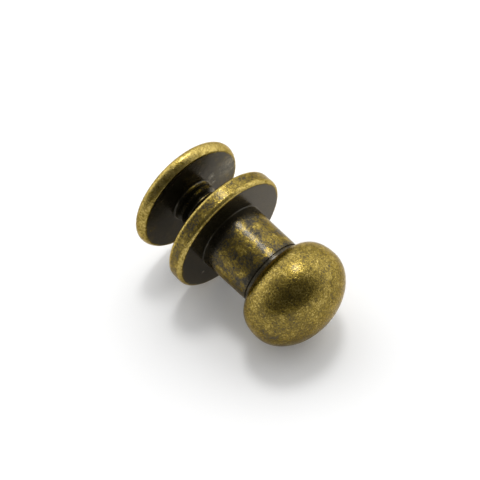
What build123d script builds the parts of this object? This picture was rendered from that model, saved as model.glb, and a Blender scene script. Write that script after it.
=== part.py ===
from build123d import *
import os
from math import radians, tan

# A ball-head chicago screw: a turned post with a flange and a ball, and the flat-headed screw
# that threads into the post's back. Millimetres. +Z runs up the common axis towards the ball, and
# the origin is the centre of the screw head's outer face, on which the pair stands.

# Thread, plain here at its crest diameter
thread_d = 3.5
thread_clearance = 0.04

# How far the screw stands open
grip_gap = 3.0

# Post: flange
flange_d = 10.0
flange_thick = 1.35
flange_edge_round = 0.33

# Screw: head, which matches the flange but for a small step all round, and its rounded rim
head_step = 0.2
head_rim = 0.28
head_thick = 1.04
head_back_round = 0.43
head_edge_break = 0.06

# Screw: shank and driving slot
shank_len = 7.2
shank_tip_chamfer = 0.4
shank_root_fillet = 0.2
slot_len = 6.4
slot_w = 1.1
slot_depth = 0.5

# Post: neck, tapered towards the ball
neck_root_d = 5.51
neck_end_d = 5.33
neck_len = 4.23
neck_root_fillet = 0.1

# Post: turned groove where the neck ends, and the bead that it leaves against the ball
groove_w = 0.12
groove_depth = 0.12
bead_w = 0.17
bead_round = 0.05

# Post: ball, flattened along the axis; a fullness of 0.55 is an ellipse and more is squarer
ball_d = 8.08
ball_back_len = 2.5
ball_front_len = 2.91
ball_back_fullness = 0.763
ball_front_fullness = 0.553

# Post: blind hole, deeper than the shank is long by a little, with the drill's cone at its end
bore_spare_depth = 0.8
bore_mouth_chamfer = 0.3
drill_point_angle = 118


# Screw
flange_r = flange_d / 2
head_r = flange_r - head_step
head_face_r = head_r - head_rim
shank_r = thread_d / 2
shank_tip = head_thick + shank_len

with BuildPart() as screw:
    with BuildSketch(Plane.XZ):
        with BuildLine():
            foot = Line((0, 0), (head_r - head_back_round, 0))
            back_round = TangentArc(foot @ 1, (head_r, head_back_round), tangent=(1, 0))
            rim = TangentArc(back_round @ 1, (head_face_r, head_thick), tangent=(0, 1))
            Polyline(
                rim @ 1,
                (shank_r, head_thick),
                (shank_r, shank_tip - shank_tip_chamfer),
                (shank_r - shank_tip_chamfer, shank_tip),
                (0, shank_tip),
                foot @ 0,
            )
        make_face()
    revolve(axis=Axis.Z)

    rings = screw.edges().filter_by(GeomType.CIRCLE)
    at_face = rings.filter_by_position(Axis.Z, head_thick - 0.001, head_thick + 0.001)
    fillet(at_face.sort_by(SortBy.RADIUS)[0], radius=shank_root_fillet)

    rings = screw.edges().filter_by(GeomType.CIRCLE)
    at_face = rings.filter_by_position(Axis.Z, head_thick - 0.001, head_thick + 0.001)
    fillet(at_face.sort_by(SortBy.RADIUS)[-1], radius=head_edge_break)

    with BuildSketch(Plane.XY):
        Rectangle(slot_len, slot_w)
    extrude(amount=slot_depth, mode=Mode.SUBTRACT)

screw.part.label = "screw"


# Post
flange_back = head_thick + grip_gap
flange_face = flange_back + flange_thick
neck_root_r = neck_root_d / 2
neck_end_r = neck_end_d / 2
groove_start = flange_face + neck_len
groove_end = groove_start + groove_w
groove_floor_r = neck_end_r - groove_depth

# Ball, one smooth curve from pole to pole, drawn about its own centre
ball_r = ball_d / 2

with BuildLine() as ball_back:
    Bezier(
        (0, -ball_back_len),
        (ball_r * ball_back_fullness, -ball_back_len),
        (ball_r, -ball_back_len * ball_back_fullness),
        (ball_r, 0),
    )

with BuildLine() as ball_front:
    Bezier(
        (ball_r, 0),
        (ball_r, ball_front_len * ball_front_fullness),
        (ball_r * ball_front_fullness, ball_front_len),
        (0, ball_front_len),
    )

# The ball stands where its back has narrowed to the bead's radius, just as the bead ends
bead_side = Axis((neck_end_r, 0, 0), (0, 1, 0))
ball_seat = -ball_back.edge().intersect(bead_side)[0].Y
ball_centre = groove_end + bead_w + ball_seat
ball_tip = ball_centre + ball_front_len

bore_r = shank_r + thread_clearance
bore_end = flange_back + shank_len + bore_spare_depth
drill_tip = bore_end + bore_r / tan(radians(drill_point_angle / 2))

with BuildPart() as ball_post:
    # Flange, neck, groove and the bead's cylinder, which runs on into the ball
    with BuildSketch(Plane.XZ):
        with BuildLine():
            Polyline(
                (0, flange_back),
                (flange_r, flange_back),
                (flange_r, flange_face),
                (neck_root_r, flange_face),
                (neck_end_r, groove_start),
                (groove_floor_r, groove_start),
                (groove_floor_r, groove_end),
                (neck_end_r, groove_end),
                (neck_end_r, ball_centre),
                (0, ball_centre),
                close=True,
            )
        make_face()
    revolve(axis=Axis.Z)

    rings = ball_post.edges().filter_by(GeomType.CIRCLE)
    flange_rings = rings.filter_by(lambda ring: abs(ring.radius - flange_r) < 0.001)
    fillet(flange_rings, radius=flange_edge_round)

    rings = ball_post.edges().filter_by(GeomType.CIRCLE)
    at_root = rings.filter_by_position(Axis.Z, flange_face - 0.001, flange_face + 0.001)
    fillet(at_root.sort_by(SortBy.RADIUS)[0], radius=neck_root_fillet)

    rings = ball_post.edges().filter_by(GeomType.CIRCLE)
    at_bead = rings.filter_by_position(Axis.Z, groove_end - 0.001, groove_end + 0.001)
    fillet(at_bead.sort_by(SortBy.RADIUS)[-1], radius=bead_round)

    # Ball
    with BuildSketch(Plane.XZ.shift_origin((0, 0, ball_centre))):
        with BuildLine():
            add(ball_back.line)
            add(ball_front.line)
            Line((0, ball_front_len), (0, -ball_back_len))
        make_face()
    revolve(axis=Axis.Z)

    # Blind hole up from the flange's back
    with BuildSketch(Plane.XZ):
        with BuildLine():
            Polyline(
                (0, flange_back),
                (bore_r + bore_mouth_chamfer, flange_back),
                (bore_r, flange_back + bore_mouth_chamfer),
                (bore_r, bore_end),
                (0, drill_tip),
                close=True,
            )
        make_face()
    revolve(axis=Axis.Z, mode=Mode.SUBTRACT)

ball_post.part.label = "ball_post"


os.makedirs("parts", exist_ok=True)
export_step(screw.part, "parts/screw.step")
export_step(ball_post.part, "parts/ball_post.step")
print("overall length", round(ball_tip, 3))
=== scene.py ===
import bpy
from math import atan, atan2, cos, hypot, pi, radians, sin, tan
from mathutils import Matrix, Vector


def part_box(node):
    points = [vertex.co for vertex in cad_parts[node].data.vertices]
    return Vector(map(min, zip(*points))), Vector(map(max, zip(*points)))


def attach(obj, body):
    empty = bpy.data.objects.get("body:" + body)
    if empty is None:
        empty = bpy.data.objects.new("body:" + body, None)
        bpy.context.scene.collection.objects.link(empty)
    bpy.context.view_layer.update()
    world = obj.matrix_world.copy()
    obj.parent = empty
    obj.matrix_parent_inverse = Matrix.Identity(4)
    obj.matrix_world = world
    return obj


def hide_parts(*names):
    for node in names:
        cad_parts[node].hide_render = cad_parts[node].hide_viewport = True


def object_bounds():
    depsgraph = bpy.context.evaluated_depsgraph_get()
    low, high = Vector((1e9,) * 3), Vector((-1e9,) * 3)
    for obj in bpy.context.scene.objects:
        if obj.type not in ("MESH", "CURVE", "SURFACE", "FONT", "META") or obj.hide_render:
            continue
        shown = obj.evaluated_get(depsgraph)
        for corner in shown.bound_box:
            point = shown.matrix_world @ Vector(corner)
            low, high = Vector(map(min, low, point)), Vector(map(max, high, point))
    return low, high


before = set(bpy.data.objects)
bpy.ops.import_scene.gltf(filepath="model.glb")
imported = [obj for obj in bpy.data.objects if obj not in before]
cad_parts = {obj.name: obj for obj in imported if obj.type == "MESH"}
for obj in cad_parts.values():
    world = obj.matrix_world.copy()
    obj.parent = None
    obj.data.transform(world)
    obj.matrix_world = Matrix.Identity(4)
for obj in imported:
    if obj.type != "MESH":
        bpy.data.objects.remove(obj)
cadLow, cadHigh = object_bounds()

mm = 0.001
weld = 0.001 * mm  # points that lie nearer than this are one
slack = 0.01 * mm  # how far off a face or an edge a vertex still counts as on it
# the brass on that side is painted darker: painted shade
lowDegrees = 60  # the way round the axis that is low in the photo
postLow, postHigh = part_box("ball_post")
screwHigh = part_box("screw")[1]


# Modelling helpers

def pickOnly(piece):
    bpy.ops.object.select_all(action="DESELECT")
    piece.select_set(True)
    bpy.context.view_layer.objects.active = piece


def arcPoints(centre, radius, startDegrees, endDegrees, steps):
    turned = radians(endDegrees - startDegrees) / steps
    angles = [radians(startDegrees) + turned * i for i in range(steps + 1)]
    return [(centre[0] + radius * cos(a), centre[1] + radius * sin(a)) for a in angles]


def curvePoints(ends, steps):
    # cubic curve through the first and last of four points
    a, b, c, d = ends
    points = []
    for i in range(steps + 1):
        t = i / steps
        k = ((1 - t) ** 3, 3 * t * (1 - t) ** 2, 3 * t * t * (1 - t), t ** 3)
        points.append(tuple(k[0] * a[n] + k[1] * b[n] + k[2] * c[n] + k[3] * d[n] for n in (0, 1)))
    return points


def linePoints(start, end, steps):
    # the points of a straight run, without its start
    return [tuple(start[n] + (end[n] - start[n]) * i / steps for n in (0, 1)) for i in range(1, steps + 1)]


def drawOutline(name, points):
    # one vertex, extruded along the outline in the XZ plane
    bpy.ops.object.select_all(action="DESELECT")
    bpy.ops.mesh.primitive_plane_add(size=mm)
    piece = bpy.context.object
    piece.name = name
    bpy.ops.object.mode_set(mode="EDIT")
    bpy.ops.mesh.select_all(action="SELECT")
    bpy.ops.mesh.merge(type="CENTER")
    bpy.ops.transform.translate(value=(points[0][0], 0, points[0][1]))
    for last, new in zip(points, points[1:]):
        move = (new[0] - last[0], 0, new[1] - last[1])
        bpy.ops.mesh.extrude_region_move(TRANSFORM_OT_translate={"value": move})
    bpy.ops.object.mode_set(mode="OBJECT")
    return piece


def closeAndSmooth(piece, sharpDegrees):
    pickOnly(piece)
    bpy.ops.object.mode_set(mode="EDIT")
    bpy.ops.mesh.select_all(action="SELECT")
    bpy.ops.mesh.remove_doubles(threshold=weld)
    bpy.ops.mesh.normals_make_consistent(inside=False)
    bpy.ops.object.mode_set(mode="OBJECT")
    bpy.ops.object.shade_smooth_by_angle(angle=radians(sharpDegrees))


def turn(name, points, steps, sharpDegrees=35):
    # a lathe: the outline spun right round the axis
    piece = drawOutline(name, points)
    bpy.ops.object.mode_set(mode="EDIT")
    bpy.ops.mesh.select_all(action="SELECT")
    bpy.ops.mesh.spin(steps=steps, angle=2 * pi, center=(0, 0, 0), axis=(0, 0, 1))
    bpy.ops.object.mode_set(mode="OBJECT")
    closeAndSmooth(piece, sharpDegrees)
    return piece


def cutAway(piece, cutter, label):
    cut = piece.modifiers.new(label, "BOOLEAN")
    cut.operation = "DIFFERENCE"
    cut.solver = "EXACT"
    cut.object = cutter
    pickOnly(piece)
    bpy.ops.object.modifier_apply(modifier=label)
    bpy.data.objects.remove(cutter)


def ease(value, low, high):
    # from 0 at low to 1 at high, with no kink at either
    t = min(1, max(0, (value - low) / (high - low)))
    return t * t * (3 - 2 * t)


def paint(piece, name, amountAt):
    # one number a vertex, from its radius, height and angle
    amounts = piece.data.attributes.new(name, "FLOAT", "POINT")
    for i, vertex in enumerate(piece.data.vertices):
        x, y, z = vertex.co
        amounts.data[i].value = amountAt(hypot(x, y), z, atan2(y, x))


def smeared(smears, r, angle):
    # dull smears on a flat face, each at a radius and an angle, with its size and how strong it is
    most = 0
    for spotRadius, spotDegrees, size, strong in smears:
        spot = (spotRadius * cos(radians(spotDegrees)), spotRadius * sin(radians(spotDegrees)))
        away = hypot(r * cos(angle) - spot[0], r * sin(angle) - spot[1])
        most = max(most, strong * ease(-away, -size, 0))
    return most


def paintedShadeSide(angle):
    # 1 low on the side that the camera sees, where the brass is painted darker as painted shade, and 0 a
    # quarter turn away
    return max(0, cos(angle - radians(lowDegrees)))


# Post: ball, bead, groove, neck, flange and blind hole

post = {
    "steps": 224,
    "flangeRadius": 5.0 * mm,
    "flangeThick": 1.35 * mm,
    "edgeRound": 0.33 * mm,
    "neckRootRadius": 2.755 * mm,
    "neckEndRadius": 2.665 * mm,
    "neckLength": 4.23 * mm,
    "rootFillet": 0.1 * mm,
    "grooveWidth": 0.09 * mm,
    "grooveDepth": 0.09 * mm,
    "beadRound": 0.05 * mm,
    "ballRadius": 4.04 * mm,
    "ballBack": 2.5 * mm,
    "ballFront": 2.91 * mm,
    "backFullness": 0.763,
    "frontFullness": 0.553,
    "boreRadius": 1.79 * mm,
    "boreDepth": 8.0 * mm,
    "mouthChamfer": 0.3 * mm,
    "drillAngle": 118,
    "smears": [(3.5 * mm, 84, 0.2 * mm, 0.9)],
    # 1 is the brightest brass and 0 or less full patina, with gains and losses along the fades; besides
    # the rubbing, the values hold painted shade on the low side and a painted lift next to the ball's
    # crease
    "wearAndShade": {
        "ball": 0.9,
        "seamLoss": 0.7,
        "seamWidth": 0.06 * mm,
        "creaseLift": 0.21,
        "creaseLiftFade": (0.1 * mm, 0.6 * mm),
        "lowShadeDepth": 0.16,
        "lowShadeFade": (-1.0 * mm, 1.5 * mm),
        "bead": 0.15,
        "neck": 0.06,
        "neckGain": 0.42,
        "neckFade": (0.3 * mm, 1.5 * mm),
        "neckEndLoss": 0.5,
        "neckEndFade": (-0.6 * mm, 0),
        "face": -0.1,
        "back": -1.0,
        "edgeFoot": 0.2,
        "edge": 0.9,
        "sideLoss": 0.36,
        "sideFade": (0.2 * mm, 0.42 * mm),
    },
}


def postOutline(p):
    back, tip, r = postLow.z, postHigh.z, p["ballRadius"]
    face, centre = back + p["flangeThick"], tip - p["ballFront"]
    p["face"], p["centre"] = face, centre
    grooveStart = face + p["neckLength"]
    grooveEnd = grooveStart + p["grooveWidth"]
    p["grooveStart"], p["grooveEnd"] = grooveStart, grooveEnd

    full = p["frontFullness"]
    front = [(0, tip), (r * full, tip), (r, centre + p["ballFront"] * full), (r, centre)]
    outline = curvePoints(front, steps=30)
    full, pole = p["backFullness"], centre - p["ballBack"]
    rear = [(r, centre), (r, centre - p["ballBack"] * full), (r * full, pole), (0, pole)]
    # the ball's back runs in as far as the bead's side, which it meets in a crease
    beyond = None
    for point in curvePoints(rear, steps=60)[1:]:
        if point[0] <= p["neckEndRadius"]:
            beyond = point
            break
        outline.append(point)
    last = outline[-1]
    share = (last[0] - p["neckEndRadius"]) / (last[0] - beyond[0])
    crease = last[1] + (beyond[1] - last[1]) * share
    p["crease"] = crease

    neckEnd, bead = p["neckEndRadius"], p["beadRound"]
    outline.append((neckEnd, crease))
    outline += arcPoints((neckEnd - bead, grooveEnd + bead), bead, 0, -90, steps=5)
    floorRadius = neckEnd - p["grooveDepth"]
    outline += [(floorRadius, grooveEnd), (floorRadius, grooveStart), (neckEnd, grooveStart)]

    root, fillet = p["neckRootRadius"], p["rootFillet"]
    outline += linePoints((neckEnd, grooveStart), (root, face + fillet), steps=16)
    outline += arcPoints((root + fillet, face + fillet), fillet, 180, 270, steps=8)[1:]

    edge, bend = p["flangeRadius"], p["edgeRound"]
    outline += linePoints((root + fillet, face), (edge - bend, face), steps=20)
    outline += arcPoints((edge - bend, face - bend), bend, 90, 0, steps=8)[1:]
    outline += linePoints((edge, face - bend), (edge, back + bend), steps=20)
    outline += arcPoints((edge - bend, back + bend), bend, 0, -90, steps=8)[1:]

    bore, chamfer = p["boreRadius"], p["mouthChamfer"]
    outline += linePoints((edge - bend, back), (bore + chamfer, back), steps=5)
    outline.append((bore, back + chamfer))
    outline += linePoints((bore, back + chamfer), (bore, back + p["boreDepth"]), steps=8)
    outline.append((0, back + p["boreDepth"] + bore / tan(radians(p["drillAngle"] / 2))))
    return outline


def postSmear(r, z, angle):
    # on the flange's face only
    return smeared(post["smears"], r, angle) if abs(z - post["face"]) < slack else 0


def postWearAndShade(r, z, angle):
    # how bright each place's brass is: mostly how far it is rubbed, with painted shade on the low side and
    # a painted lift next to the ball's crease
    p, wearAndShade = post, post["wearAndShade"]
    if z > p["crease"] - slack:
        # the ball's low side, towards its front, is painted darker: painted shade
        low = paintedShadeSide(angle) * r / p["ballRadius"] * ease(z - p["centre"], *wearAndShade["lowShadeFade"])
        # a thin line of patina in the crease, then the brass next to it painted brighter, a painted lift
        # against the crease's shade, fading out over the ball
        byCrease = wearAndShade["seamLoss"] * ease(z - p["crease"], wearAndShade["seamWidth"], 0)
        byCrease += wearAndShade["creaseLift"] * ease(z - p["crease"], *wearAndShade["creaseLiftFade"])
        return wearAndShade["ball"] - byCrease - wearAndShade["lowShadeDepth"] * low
    if z > p["grooveStart"] - slack:
        return wearAndShade["bead"]
    if r < p["neckRootRadius"] + slack and z > p["face"] + slack:
        # darker towards the flange and towards the groove under the ball
        middle = ease(z - p["face"], *wearAndShade["neckFade"])
        middle -= wearAndShade["neckEndLoss"] * ease(z - p["grooveStart"], *wearAndShade["neckEndFade"])
        return wearAndShade["neck"] + wearAndShade["neckGain"] * middle
    if r < p["flangeRadius"] - p["edgeRound"] - slack:
        return wearAndShade["face"] if z > p["face"] - slack else wearAndShade["back"]
    up = min(z - postLow.z, p["face"] - z)
    if up < slack:
        return wearAndShade["edgeFoot"]
    return wearAndShade["edge"] - wearAndShade["sideLoss"] * ease(up, *wearAndShade["sideFade"])


postPiece = turn("ball_post_turned", postOutline(post), post["steps"])
paint(postPiece, "wearAndShade", postWearAndShade)
paint(postPiece, "smear", postSmear)
print("post turned:", len(postPiece.data.polygons), "faces")


# Screw: disc head, threaded shank and driving slot

screw = {
    "steps": 224,
    "headRadius": 4.8 * mm,
    "headThick": 1.04 * mm,
    "faceRadius": 4.52 * mm,
    "backRound": 0.43 * mm,
    "edgeBreak": 0.06 * mm,
    "rimShare": 0.96,  # of the rim's arc, the rest of which is the broken edge
    "rootFillet": 0.2 * mm,
    "crestRadius": 1.74 * mm,
    "tipChamfer": 0.4 * mm,
    "slotLength": 6.4 * mm,
    "slotWidth": 1.1 * mm,
    "slotDepth": 0.5 * mm,
    "slotRound": 0.06 * mm,
    "smears": [
        (3.9 * mm, -118, 1.8 * mm, 0.5), (2.3 * mm, -104, 0.5 * mm, 1.0),
        (2.2 * mm, -128, 0.3 * mm, 0.7), (2.74 * mm, -61, 0.2 * mm, 0.9),
    ],
    # as for the post
    "wearAndShade": {
        "nearShank": 0.05 * mm,
        "thread": -0.5,
        "crestGain": 0.9,
        "crestLowShade": 0.5,
        "crestHeight": 0.02 * mm,
        "face": -0.05,
        "faceGain": 0.15,
        "faceFade": (2.6 * mm, 4.2 * mm),
        "faceEdge": 0.6,
        "faceEdgeWidth": 0.1 * mm,
        "back": -0.6,
        "backGain": 1.1,
        "backFadeStart": 3.6 * mm,
        "slot": -0.6,
        "rim": 0.9,
        "rimWidth": 0.5 * mm,
        "rimLowShade": 0.14,
    },
}

thread = {
    "pitch": 0.6 * mm,
    "depth": 0.335 * mm,
    "crestFlat": 0.07 * mm,
    "rootFlat": 0.13 * mm,
    "start": 0.37 * mm,
    "startDegrees": -100,
    "fadeTurns": 0.45,
    "turns": 13,
    "steps": 96,
    "overcut": 0.1 * mm,
}


def screwOutline(s):
    edge, thick, back = s["headRadius"], s["headThick"], s["backRound"]
    outline = [(0, 0)] + linePoints((0, 0), (edge - back, 0), steps=6)
    outline += arcPoints((edge - back, back), back, -90, 0, steps=10)[1:]

    # the rim is one arc from the widest place to the inner face
    rise, inset = thick - back, edge - s["faceRadius"]
    rimRadius = (rise ** 2 + inset ** 2) / (2 * inset)
    rimCentre = (edge - rimRadius, back)
    sweep = 90 - atan((s["faceRadius"] - rimCentre[0]) / rise) * 180 / pi
    outline += arcPoints(rimCentre, rimRadius, 0, sweep * s["rimShare"], steps=14)[1:]
    outline.append((s["faceRadius"] - s["edgeBreak"], thick))

    crest, fillet = s["crestRadius"], s["rootFillet"]
    outline += linePoints(outline[-1], (crest + fillet, thick), steps=24)
    outline += arcPoints((crest + fillet, thick + fillet), fillet, 270, 180, steps=6)[1:]
    tip = screwHigh.z
    outline += linePoints(outline[-1], (crest, tip - s["tipChamfer"]), steps=4)
    outline += [(crest - s["tipChamfer"], tip), (0, tip)]
    return outline


def threadCutter(s, t):
    # a coil of the groove's section, closed at both ends
    crest, root = s["crestRadius"], s["crestRadius"] - t["depth"]
    outside = crest + t["overcut"]
    half, narrow = (t["pitch"] - t["crestFlat"]) / 2, t["rootFlat"] / 2
    section = [
        (root, -narrow), (root, narrow), (crest, half), (outside, half),
        (outside, -half), (crest, -half), (root, -narrow),
    ]
    coil = drawOutline("thread_groove", section)
    pickOnly(coil)
    bpy.ops.object.mode_set(mode="EDIT")
    bpy.ops.mesh.select_all(action="SELECT")
    bpy.ops.mesh.remove_doubles(threshold=weld)
    bpy.ops.transform.translate(value=(0, 0, s["headThick"] + t["start"]))
    bpy.ops.object.mode_set(mode="OBJECT")
    corners = len(coil.data.vertices)
    wind = coil.modifiers.new("wind", "SCREW")
    wind.axis = "Z"
    wind.angle = 2 * pi
    wind.screw_offset = t["pitch"]
    wind.iterations = t["turns"]
    wind.steps = t["steps"]
    wind.render_steps = t["steps"]
    bpy.ops.object.modifier_apply(modifier="wind")

    # the groove starts shallow and sinks to its full depth
    fade = t["fadeTurns"] * t["steps"]
    for i, vertex in enumerate(coil.data.vertices):
        shallow = t["depth"] * max(0, 1 - (i // corners) / fade)
        r = hypot(vertex.co.x, vertex.co.y)
        vertex.co.x *= (r + shallow) / r
        vertex.co.y *= (r + shallow) / r
    bpy.ops.object.mode_set(mode="EDIT")
    bpy.ops.mesh.select_all(action="SELECT")
    bpy.ops.mesh.fill_holes(sides=0)
    bpy.ops.mesh.select_all(action="SELECT")
    bpy.ops.mesh.normals_make_consistent(inside=False)
    bpy.ops.transform.rotate(value=-radians(t["startDegrees"]), orient_axis="Z", center_override=(0, 0, 0))
    bpy.ops.object.mode_set(mode="OBJECT")
    return coil


def slotCutter(s):
    bpy.ops.object.select_all(action="DESELECT")
    bpy.ops.mesh.primitive_cube_add(size=1)
    cutter = bpy.context.object
    bpy.ops.object.mode_set(mode="EDIT")
    bpy.ops.transform.resize(value=(s["slotLength"], s["slotWidth"], 2 * s["slotDepth"]))
    bpy.ops.mesh.bevel(offset=s["slotRound"], segments=3, affect="EDGES")
    bpy.ops.object.mode_set(mode="OBJECT")
    return cutter


def screwSmear(r, z, angle):
    # on the head's inner face only
    return smeared(screw["smears"], r, angle) if abs(z - screw["headThick"]) < slack else 0


def screwWearAndShade(r, z, angle):
    s, wearAndShade = screw, screw["wearAndShade"]
    crest = s["crestRadius"]
    if z > s["headThick"] + wearAndShade["nearShank"] and r < crest + wearAndShade["nearShank"]:
        # the crests are painted darker on the low side: painted shade
        gain = wearAndShade["crestGain"] - wearAndShade["crestLowShade"] * paintedShadeSide(angle)
        return wearAndShade["thread"] + gain * ease(r, crest - wearAndShade["crestHeight"], crest)
    if z > s["headThick"] - slack:
        if r < s["faceRadius"] - wearAndShade["faceEdgeWidth"]:
            return wearAndShade["face"] + wearAndShade["faceGain"] * ease(r, *wearAndShade["faceFade"])
        return wearAndShade["faceEdge"]
    if z < 2 * slack:
        outer = ease(r, wearAndShade["backFadeStart"], s["headRadius"] - s["backRound"])
        return wearAndShade["back"] + wearAndShade["backGain"] * outer
    if r < s["headRadius"] - wearAndShade["rimWidth"]:
        return wearAndShade["slot"]
    # the rim is painted darker on the low side: painted shade
    return wearAndShade["rim"] - wearAndShade["rimLowShade"] * paintedShadeSide(angle)


screwPiece = turn("screw_turned", screwOutline(screw), screw["steps"])
cutAway(screwPiece, threadCutter(screw, thread), "thread")
cutAway(screwPiece, slotCutter(screw), "slot")
closeAndSmooth(screwPiece, sharpDegrees=32)
paint(screwPiece, "wearAndShade", screwWearAndShade)
paint(screwPiece, "smear", screwSmear)
print("screw threaded:", len(screwPiece.data.polygons), "faces")


# Finish: antique brass, brown-black in the flats and hollows and rubbed bright where it is handled

finish = {
    # by how far a place is rubbed, with painted shade and a painted lift mixed in: patina, brown, dull
    # brass, brass and the brightest brass
    "colours": [
        (0.0, (0.013, 0.011, 0.005)),
        (0.25, (0.041, 0.034, 0.021)),
        (0.5, (0.102, 0.072, 0.012)),
        (0.75, (0.228, 0.162, 0.022)),
        (1.0, (0.450, 0.340, 0.095)),
    ],
    "metal": [(0.0, 0.4), (0.45, 1.0)],
    "rough": [(0.1, 0.24), (0.6, 0.3), (1.0, 0.22)],
    "mottle": {"Scale": 1.3, "Detail": 4, "Roughness": 0.62, "Distortion": 0},
    "mottleSwing": 1.2,
    "mottleByWear": [(0.2, 1.0), (0.48, 1.7), (0.6, 0.7), (0.75, 0.5)],
    "grain": {"Scale": 7.0, "Detail": 2, "Roughness": 0.7, "Distortion": 0.8},
    "grainSwing": 1.5,
    "grainByWear": [(0.4, 0.8), (0.75, 1.0)],
    "grainHeight": 0.02 * mm,
    "heightByWear": [(0.0, 0.3), (0.4, 1.0)],
    "smear": (0.44, 0.40, 0.31),
    "smearByMottle": [(0.35, 0.4), (0.6, 1.0)],
    "smearByGrain": [(0.4, 0.35), (0.6, 1.0)],
    "specular": 0.1,
    "edgeTint": (0.75, 0.62, 0.38),
    "lacquer": 0.25,
    "lacquerIor": 1.6,
    "lacquerRough": 0.18,
    "lacquerHeight": 0.005 * mm,
}


def addNode(tree, kind, place=(0, 0), **settings):
    node = tree.nodes.new(kind)
    node.location = place
    for name, value in settings.items():
        setattr(node, name, value)
    return node


def plug(tree, source, output, target, socket):
    tree.links.new(source.outputs[output], target.inputs[socket])


def mathNode(tree, operation, a, b=None, place=(0, 0)):
    # a and b are numbers, or pairs of a node and its output
    node = addNode(tree, "ShaderNodeMath", place, operation=operation)
    for i, value in enumerate((a, b)):
        if isinstance(value, tuple):
            plug(tree, value[0], value[1], node, i)
        elif value is not None:
            node.inputs[i].default_value = value
    return node


def rampNode(tree, source, stops, place=(0, 0)):
    node = addNode(tree, "ShaderNodeValToRGB", place)
    ramp = node.color_ramp
    while len(ramp.elements) < len(stops):
        ramp.elements.new(0.5)
    for element, (where, colour) in zip(ramp.elements, stops):
        element.position = where
        element.color = (*colour, 1) if isinstance(colour, tuple) else (colour, colour, colour, 1)
    plug(tree, source[0], source[1], node, "Fac")
    return node


def noiseNode(tree, source, settings, place):
    node = addNode(tree, "ShaderNodeTexNoise", place)
    for socket, value in settings.items():
        node.inputs[socket].default_value = value
    plug(tree, source, "Vector", node, "Vector")
    return node


def swingNode(tree, noise, swing, strength, place):
    # a noise made to swing evenly about 0, as strongly as the wear lets it
    x, y = place
    even = mathNode(tree, "MULTIPLY_ADD", (noise, "Fac"), swing, (x - 100, y))
    even.inputs[2].default_value = -swing / 2
    return mathNode(tree, "MULTIPLY", (even, 0), (strength, "Color"), place)


def makeAntiqueBrass(f):
    material = bpy.data.materials.new("antiqueBrass")
    material.use_nodes = True
    tree = material.node_tree
    shader = tree.nodes["Principled BSDF"]

    coordinates = addNode(tree, "ShaderNodeTexCoord", (-1400, 0))
    inMm = addNode(tree, "ShaderNodeMapping", (-1200, 0))
    inMm.inputs["Scale"].default_value = (1 / mm, 1 / mm, 1 / mm)
    plug(tree, coordinates, "Object", inMm, "Vector")
    mottle = noiseNode(tree, inMm, f["mottle"], (-1000, 200))
    grain = noiseNode(tree, inMm, f["grain"], (-1000, -100))

    # how bright the brass is at each place: the painted wear and painted shade, broken up by mottle and
    # grain
    wearAndShade = addNode(tree, "ShaderNodeAttribute", (-1000, 450), attribute_name="wearAndShade")
    patchy = rampNode(tree, (wearAndShade, "Fac"), f["mottleByWear"], (-1000, 650))
    mottled = swingNode(tree, mottle, f["mottleSwing"], patchy, (-700, 300))
    grainy = rampNode(tree, (wearAndShade, "Fac"), f["grainByWear"], (-800, -350))
    grained = swingNode(tree, grain, f["grainSwing"], grainy, (-700, -100))
    swing = mathNode(tree, "ADD", (mottled, 0), (grained, 0), (-600, 100))
    bright = mathNode(tree, "ADD", (wearAndShade, "Fac"), (swing, 0), (-400, 200))
    colour = rampNode(tree, (bright, 0), f["colours"], (-200, 300))
    metal = rampNode(tree, (bright, 0), f["metal"], (-200, 0))
    rough = rampNode(tree, (bright, 0), f["rough"], (-200, -250))

    # dull smears lie over the brass, streaky with the mottle and speckled with the grain
    smear = addNode(tree, "ShaderNodeAttribute", (-1000, 900), attribute_name="smear")
    streaky = rampNode(tree, (mottle, "Fac"), f["smearByMottle"], (-700, 700))
    speckled = rampNode(tree, (grain, "Fac"), f["smearByGrain"], (-700, 900))
    cover = mathNode(tree, "MULTIPLY", (smear, "Fac"), (streaky, "Color"), (-500, 700))
    cover = mathNode(tree, "MULTIPLY", (cover, 0), (speckled, "Color"), (-350, 750))
    smeary = addNode(tree, "ShaderNodeMix", (100, 400), data_type="RGBA")
    smeary.inputs["B"].default_value = (*f["smear"], 1)
    plug(tree, cover, 0, smeary, "Factor")
    plug(tree, colour, "Color", smeary, "A")
    bare = mathNode(tree, "SUBTRACT", 1.0, (cover, 0), (-200, 600))
    bareMetal = mathNode(tree, "MULTIPLY", (metal, "Color"), (bare, 0), (100, 100))
    plug(tree, smeary, "Result", shader, "Base Color")
    plug(tree, bareMetal, 0, shader, "Metallic")
    plug(tree, rough, "Color", shader, "Roughness")

    # the flats are smooth and the worn brass is grainy, which the lacquer mostly levels out
    bumpy = rampNode(tree, (wearAndShade, "Fac"), f["heightByWear"], (-500, -500))
    for height, socket, y in (("grainHeight", "Normal", -500), ("lacquerHeight", "Coat Normal", -700)):
        bump = addNode(tree, "ShaderNodeBump", (-200, y))
        bump.inputs["Distance"].default_value = f[height]
        plug(tree, bumpy, "Color", bump, "Strength")
        plug(tree, grain, "Fac", bump, "Height")
        plug(tree, bump, "Normal", shader, socket)

    # clear lacquer over everything
    shader.inputs["Specular IOR Level"].default_value = f["specular"]
    shader.inputs["Specular Tint"].default_value = (*f["edgeTint"], 1)
    shader.inputs["Coat Weight"].default_value = f["lacquer"]
    shader.inputs["Coat IOR"].default_value = f["lacquerIor"]
    shader.inputs["Coat Roughness"].default_value = f["lacquerRough"]
    return material


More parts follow.
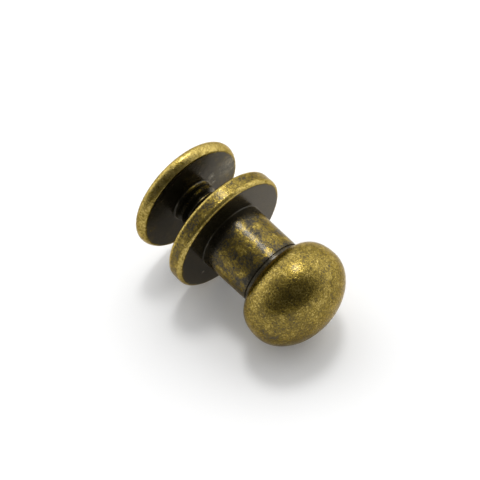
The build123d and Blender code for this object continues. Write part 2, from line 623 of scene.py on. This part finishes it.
antiqueBrass = makeAntiqueBrass(finish)
for piece, node in ((postPiece, "ball_post"), (screwPiece, "screw")):
    piece.data.materials.clear()
    piece.data.materials.append(antiqueBrass)
    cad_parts[node].data.materials.clear()
    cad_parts[node].data.materials.append(antiqueBrass)
    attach(piece, node)
    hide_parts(node)
print("finish made")


# Floor: the pair lies on its side, on the flange's edge and the ball

def towards(azimuth, elevation):
    a, e = radians(azimuth), radians(elevation)
    return Vector((sin(a) * cos(e), -cos(a) * cos(e), sin(e)))


table = {
    "azimuth": 45,
    "size": 0.9,
    "colour": (0.97, 0.97, 0.97),
    "glow": 0.04,
}


def makeTable(t):
    rise = post["flangeRadius"] - post["ballRadius"]
    reach = post["centre"] - post["face"] + post["edgeRound"]
    up = towards(t["azimuth"], -atan(rise / reach) * 180 / pi)
    drop = min(v.co.dot(up) for v in postPiece.data.vertices)
    bpy.ops.object.select_all(action="DESELECT")
    bpy.ops.mesh.primitive_plane_add(size=t["size"])
    floor = bpy.context.object
    floor.name = "table_top"
    floor.data.transform(up.to_track_quat("Z", "Y").to_matrix().to_4x4())
    floor.data.transform(Matrix.Translation(up * drop))
    material = bpy.data.materials.new("paleTable")
    material.use_nodes = True
    tree = material.node_tree
    tree.nodes.clear()
    matt = addNode(tree, "ShaderNodeBsdfDiffuse")
    matt.inputs["Color"].default_value = (*t["colour"], 1)

    # it glows a little to the camera and in reflections, and to no other ray
    glow = addNode(tree, "ShaderNodeEmission")
    glow.inputs["Strength"].default_value = t["glow"]
    both = addNode(tree, "ShaderNodeAddShader")
    plug(tree, matt, 0, both, 0)
    plug(tree, glow, 0, both, 1)
    ray = addNode(tree, "ShaderNodeLightPath")
    mirrored = mathNode(tree, "MAXIMUM", (ray, "Is Glossy Ray"), (ray, "Is Transmission Ray"))
    looked = mathNode(tree, "MAXIMUM", (ray, "Is Camera Ray"), (mirrored, 0))
    seen = addNode(tree, "ShaderNodeMixShader")
    plug(tree, looked, 0, seen, 0)
    plug(tree, matt, 0, seen, 1)
    plug(tree, both, 0, seen, 2)

    # clear from behind, so that it hides nothing from below
    side = addNode(tree, "ShaderNodeNewGeometry")
    clear = addNode(tree, "ShaderNodeBsdfTransparent")
    oneSided = addNode(tree, "ShaderNodeMixShader")
    plug(tree, side, "Backfacing", oneSided, 0)
    plug(tree, seen, 0, oneSided, 1)
    plug(tree, clear, 0, oneSided, 2)
    end = addNode(tree, "ShaderNodeOutputMaterial")
    plug(tree, oneSided, 0, end, "Surface")
    floor.data.materials.append(material)


makeTable(table)


# Camera: where the photograph was taken from

view = {
    "azimuth": 70.81,
    "elevation": 21.45,
    "roll": 132.56,
    "distance": 59.81 * mm,
    "aim": (-0.713 * mm, 0.03 * mm, 5.875 * mm),
    "fieldDegrees": 33.15,
    "sensor": 36,
}


def placeCamera(v):
    back = towards(v["azimuth"], v["elevation"])
    camera = bpy.data.objects.new("camera", bpy.data.cameras.new("camera"))
    bpy.context.scene.collection.objects.link(camera)
    camera.data.sensor_width = v["sensor"]
    camera.data.lens = v["sensor"] / 2 / tan(radians(v["fieldDegrees"] / 2))
    camera.data.clip_start = mm
    camera.location = Vector(v["aim"]) + back * v["distance"]
    level = (-back).to_track_quat("-Z", "Y")
    camera.rotation_mode = "QUATERNION"
    camera.rotation_quaternion = Matrix.Rotation(radians(v["roll"]), 4, back).to_quaternion() @ level
    bpy.context.scene.camera = camera


placeCamera(view)


# Light: one soft box above the table, a little behind, and the pale room round it

studio = {
    "boxAzimuth": 30.6,
    "boxElevation": -20.0,
    "boxDistance": 0.25,
    "boxSize": 0.055,
    "boxPower": 0.14,
    "backAzimuth": -86.8,
    "backElevation": -36.2,
    "wallStrength": 2.45,
    "walls": [
        (0.0, 0.06), (0.18, 0.09), (0.25, 0.18), (0.31, 0.36), (0.38, 0.58), (0.45, 0.92),
        (0.54, 1.0), (0.68, 1.0), (0.79, 0.7), (0.88, 0.5), (1.0, 0.42),
    ],
}


def makeLight(s):
    away = towards(s["boxAzimuth"], s["boxElevation"])
    lamp = bpy.data.lights.new("softBox", "AREA")
    lamp.shape = "DISK"
    lamp.size = s["boxSize"]
    lamp.energy = s["boxPower"]
    box = bpy.data.objects.new("softBox", lamp)
    bpy.context.scene.collection.objects.link(box)
    box.location = Vector((0, 0, (cadLow.z + cadHigh.z) / 2)) + away * s["boxDistance"]
    box.rotation_mode = "QUATERNION"
    box.rotation_quaternion = (-away).to_track_quat("-Z", "Y")
    box.visible_camera = False


def makeRoom(s):
    # dim on the camera's side, brightest round the middle, and the same to every ray
    world = bpy.data.worlds.new("room")
    bpy.context.scene.world = world
    world.use_nodes = True
    tree = world.node_tree
    tree.nodes.clear()
    coordinates = addNode(tree, "ShaderNodeTexCoord")
    facing = addNode(tree, "ShaderNodeVectorMath", operation="DOT_PRODUCT")
    plug(tree, coordinates, "Generated", facing, 0)
    facing.inputs[1].default_value = towards(s["backAzimuth"], s["backElevation"])
    # from 0 on the camera's side to 1 at the back
    share = mathNode(tree, "MULTIPLY_ADD", (facing, "Value"), 0.5)
    share.inputs[2].default_value = 0.5
    walls = rampNode(tree, (share, 0), s["walls"])
    walls.color_ramp.interpolation = "EASE"
    strength = mathNode(tree, "MULTIPLY", (walls, "Color"), s["wallStrength"])
    room = addNode(tree, "ShaderNodeBackground")
    plug(tree, strength, 0, room, "Strength")
    end = addNode(tree, "ShaderNodeOutputWorld")
    plug(tree, room, 0, end, "Surface")


makeLight(studio)
makeRoom(studio)
bpy.context.scene.view_settings.view_transform = "Standard"
print("camera and light placed")
